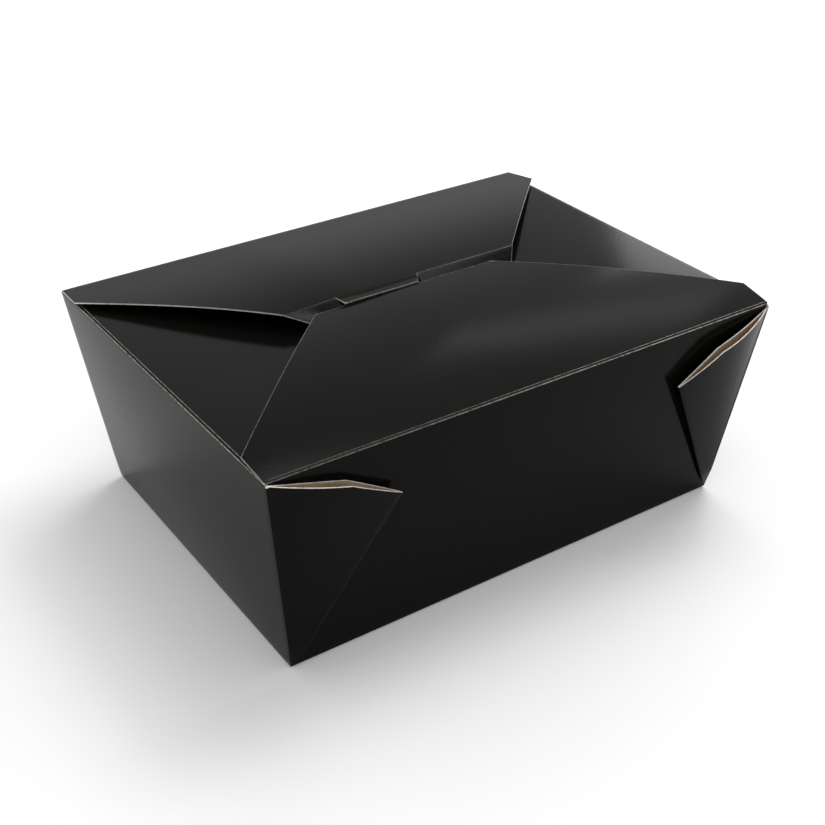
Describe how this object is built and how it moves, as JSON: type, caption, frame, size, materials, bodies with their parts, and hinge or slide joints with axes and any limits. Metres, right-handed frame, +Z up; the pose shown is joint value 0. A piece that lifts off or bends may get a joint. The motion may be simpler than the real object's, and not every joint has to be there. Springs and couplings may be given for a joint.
{
  "type": "takeout carton",
  "caption": "Rectangular takeout carton folded from one sheet of black coated board, with leaning walls, folded corner webs and a closed lid of four flaps; the front flap swings open.",
  "frame": {"origin": "middle of the bottom, on the surface that the carton stands on", "axes": "+X along the long side, +Y from the front wall to the back wall, +Z up"},
  "size_m": [0.22, 0.171, 0.0924],
  "materials": {
    "black_board": "satin black coating"
  },
  "bodies": {
    "carton": {"carton": "black_board"},
    "front_flap": {"front_flap": "black_board"}
  },
  "joints": [
    {"name": "front_flap_fold", "type": "hinge", "parent": "carton", "child": "front_flap", "pos_m": [0, -0.081, 0.086], "axis": [1, 0, 0], "range_deg": [0, 175]}
  ]
}
